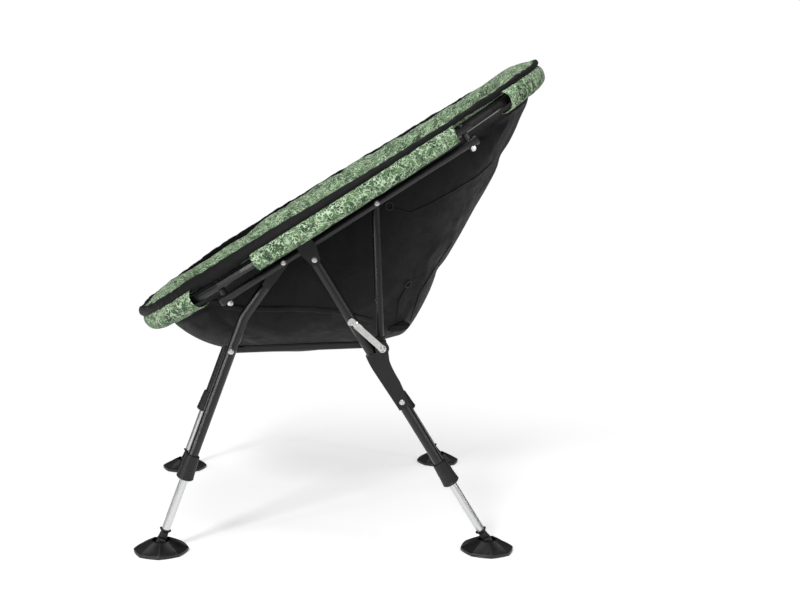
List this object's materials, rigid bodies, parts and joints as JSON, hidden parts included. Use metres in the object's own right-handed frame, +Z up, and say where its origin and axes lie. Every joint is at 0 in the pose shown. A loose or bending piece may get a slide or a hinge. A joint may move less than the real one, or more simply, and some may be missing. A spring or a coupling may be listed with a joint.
{
  "type": "folding fishing chair",
  "caption": "Low folding chair with a deep padded bucket seat slung in a rim tube, hook-latched flat-folding side frames, telescopic legs and tilting mud feet.",
  "frame": {"origin": "on the ground, under the middle of the open chair's box", "axes": "+Z up, the sitter faces -Y, +X is the sitter's left"},
  "size_m": [0.745, 0.8314, 0.9563],
  "materials": {
    "black tube": "powder coat, semi-gloss",
    "bright aluminium": "drawn, satin",
    "zinc steel": "bright zinc plate",
    "black nylon": "moulded, fine texture",
    "black rubber": "moulded, dull",
    "green mottled fabric": "padded polyester, brushed",
    "black fabric": "coated woven polyester"
  },
  "bodies": {
    "seat_frame": {"rim_front": "black tube", "rim_rear": "black tube", "rail_left": "black tube", "rim_bolt_front_left": "zinc steel", "rim_bolt_rear_left": "zinc steel", "brace_bracket_left": "black tube", "brace_bolt_left": "zinc steel", "front_pivot_bolt_left": "zinc steel", "strut_bolt_left": "zinc steel", "rim_sleeve_left": "green mottled fabric", "rail_right": "black tube", "rim_bolt_front_right": "zinc steel", "rim_bolt_rear_right": "zinc steel", "brace_bracket_right": "black tube", "brace_bolt_right": "zinc steel", "front_pivot_bolt_right": "zinc steel", "strut_bolt_right": "zinc steel", "rim_sleeve_right": "green mottled fabric", "seat_shell": "black fabric", "seat_cover": "green mottled fabric"},
    "front_leg_left": {"front_leg_left": "black tube", "link_bolt_left": "zinc steel"},
    "link_left": {"link_bar_left": "black tube"},
    "strut_left": {"strut_left": "black tube", "strut_end_left": "black nylon"},
    "rear_leg_left": {"knuckle_left": "black nylon", "latch_screw_left": "zinc steel", "knuckle_bolt_left": "zinc steel", "rear_leg_left": "black tube"},
    "brace_left": {"brace_left": "black tube", "latch_pin_left": "zinc steel"},
    "latch_left": {"latch_left": "zinc steel"},
    "front_collar_left": {"front_collar_left": "black nylon"},
    "front_inner_left": {"front_inner_leg_left": "bright aluminium", "front_ankle_left": "black nylon"},
    "front_foot_left": {"front_foot_left": "black rubber"},
    "rear_collar_left": {"rear_collar_left": "black nylon"},
    "rear_inner_left": {"rear_inner_leg_left": "bright aluminium", "rear_ankle_left": "black nylon"},
    "rear_foot_left": {"rear_foot_left": "black rubber"},
    "front_leg_right": {"front_leg_right": "black tube", "link_bolt_right": "zinc steel"},
    "link_right": {"link_bar_right": "black tube"},
    "strut_right": {"strut_right": "black tube", "strut_end_right": "black nylon"},
    "rear_leg_right": {"knuckle_right": "black nylon", "latch_screw_right": "zinc steel", "knuckle_bolt_right": "zinc steel", "rear_leg_right": "black tube"},
    "brace_right": {"brace_right": "black tube", "latch_pin_right": "zinc steel"},
    "latch_right": {"latch_right": "zinc steel"},
    "front_collar_right": {"front_collar_right": "black nylon"},
    "front_inner_right": {"front_inner_leg_right": "bright aluminium", "front_ankle_right": "black nylon"},
    "front_foot_right": {"front_foot_right": "black rubber"},
    "rear_collar_right": {"rear_collar_right": "black nylon"},
    "rear_inner_right": {"rear_inner_leg_right": "bright aluminium", "rear_ankle_right": "black nylon"},
    "rear_foot_right": {"rear_foot_right": "black rubber"}
  },
  "joints": [
    {"name": "front_fold_left", "type": "hinge", "parent": "seat_frame", "child": "front_leg_left", "pos_m": [0.2925, -0.12918, 0.55245], "axis": [1, 0, 0], "range_deg": [0, 128]},
    {"name": "link_fold_left", "type": "hinge", "parent": "front_leg_left", "child": "link_left", "pos_m": [0.2785, -0.22401, 0.3841], "axis": [1, 0, 0], "range_deg": [-101, 0]},
    {"name": "strut_fold_left", "type": "hinge", "parent": "seat_frame", "child": "strut_left", "pos_m": [0.2955, 0.04049, 0.6639], "axis": [1, 0, 0], "range_deg": [0, 100]},
    {"name": "rear_fold_left", "type": "hinge", "parent": "strut_left", "child": "rear_leg_left", "pos_m": [0.321, 0.05455, 0.39527], "axis": [-1, 0, 0], "range_deg": [0, 72]},
    {"name": "brace_fold_left", "type": "hinge", "parent": "seat_frame", "child": "brace_left", "pos_m": [0.321, -0.07289, 0.55928], "axis": [-1, 0, 0], "range_deg": [0, 85]},
    {"name": "latch_turn_left", "type": "hinge", "parent": "rear_leg_left", "child": "latch_left", "pos_m": [0.3364, 0.05455, 0.39527], "axis": [-1, 0, 0], "range_deg": [0, 115]},
    {"name": "front_leg_slide_left", "type": "slide", "parent": "front_leg_left", "child": "front_inner_left", "axis": [0, -0.3355, -0.9421], "range_m": [-0.095, 0]},
    {"name": "front_collar_twist_left", "type": "hinge", "parent": "front_leg_left", "child": "front_collar_left", "pos_m": [0.2925, -0.25303, 0.30262], "axis": [0, -0.3355, -0.9421], "range_deg": [0, 90]},
    {"name": "front_foot_tilt_left", "type": "hinge", "parent": "front_inner_left", "child": "front_foot_left", "pos_m": [0.2925, -0.35366, 0.02], "axis": [1, 0, 0], "range_deg": [-20, 20]},
    {"name": "rear_leg_slide_left", "type": "slide", "parent": "rear_leg_left", "child": "rear_inner_left", "axis": [0, 0.5318, -0.8468], "range_m": [-0.095, 0]},
    {"name": "rear_collar_twist_left", "type": "hinge", "parent": "rear_leg_left", "child": "rear_collar_left", "pos_m": [0.321, 0.10624, 0.27405], "axis": [0, 0.5318, -0.8468], "range_deg": [0, 90]},
    {"name": "rear_foot_tilt_left", "type": "hinge", "parent": "rear_inner_left", "child": "rear_foot_left", "pos_m": [0.321, 0.26579, 0.02], "axis": [1, 0, 0], "range_deg": [-20, 20]},
    {"name": "front_fold_right", "type": "hinge", "parent": "seat_frame", "child": "front_leg_right", "pos_m": [-0.2925, -0.12918, 0.55245], "axis": [1, 0, 0], "range_deg": [0, 128]},
    {"name": "link_fold_right", "type": "hinge", "parent": "front_leg_right", "child": "link_right", "pos_m": [-0.2785, -0.22401, 0.3841], "axis": [1, 0, 0], "range_deg": [-101, 0]},
    {"name": "strut_fold_right", "type": "hinge", "parent": "seat_frame", "child": "strut_right", "pos_m": [-0.2955, 0.04049, 0.6639], "axis": [1, 0, 0], "range_deg": [0, 100]},
    {"name": "rear_fold_right", "type": "hinge", "parent": "strut_right", "child": "rear_leg_right", "pos_m": [-0.321, 0.05455, 0.39527], "axis": [-1, 0, 0], "range_deg": [0, 72]},
    {"name": "brace_fold_right", "type": "hinge", "parent": "seat_frame", "child": "brace_right", "pos_m": [-0.321, -0.07289, 0.55928], "axis": [-1, 0, 0], "range_deg": [0, 85]},
    {"name": "latch_turn_right", "type": "hinge", "parent": "rear_leg_right", "child": "latch_right", "pos_m": [-0.3364, 0.05455, 0.39527], "axis": [-1, 0, 0], "range_deg": [0, 115]},
    {"name": "front_leg_slide_right", "type": "slide", "parent": "front_leg_right", "child": "front_inner_right", "axis": [0, -0.3355, -0.9421], "range_m": [-0.095, 0]},
    {"name": "front_collar_twist_right", "type": "hinge", "parent": "front_leg_right", "child": "front_collar_right", "pos_m": [-0.2925, -0.25303, 0.30262], "axis": [0, -0.3355, -0.9421], "range_deg": [0, 90]},
    {"name": "front_foot_tilt_right", "type": "hinge", "parent": "front_inner_right", "child": "front_foot_right", "pos_m": [-0.2925, -0.35366, 0.02], "axis": [1, 0, 0], "range_deg": [-20, 20]},
    {"name": "rear_leg_slide_right", "type": "slide", "parent": "rear_leg_right", "child": "rear_inner_right", "axis": [0, 0.5318, -0.8468], "range_m": [-0.095, 0]},
    {"name": "rear_collar_twist_right", "type": "hinge", "parent": "rear_leg_right", "child": "rear_collar_right", "pos_m": [-0.321, 0.10624, 0.27405], "axis": [0, 0.5318, -0.8468], "range_deg": [0, 90]},
    {"name": "rear_foot_tilt_right", "type": "hinge", "parent": "rear_inner_right", "child": "rear_foot_right", "pos_m": [-0.321, 0.26579, 0.02], "axis": [1, 0, 0], "range_deg": [-20, 20]}
  ],
  "couplings": [
    {"joint": "link_fold_left", "follows": "front_fold_left", "ratio": -0.78416},
    {"joint": "strut_fold_left", "follows": "front_fold_left", "ratio": 0.77449},
    {"joint": "brace_fold_left", "follows": "rear_fold_left", "ratio": 1.1667},
    {"joint": "link_fold_right", "follows": "front_fold_right", "ratio": -0.78416},
    {"joint": "strut_fold_right", "follows": "front_fold_right", "ratio": 0.77449},
    {"joint": "brace_fold_right", "follows": "rear_fold_right", "ratio": 1.1667}
  ]
}
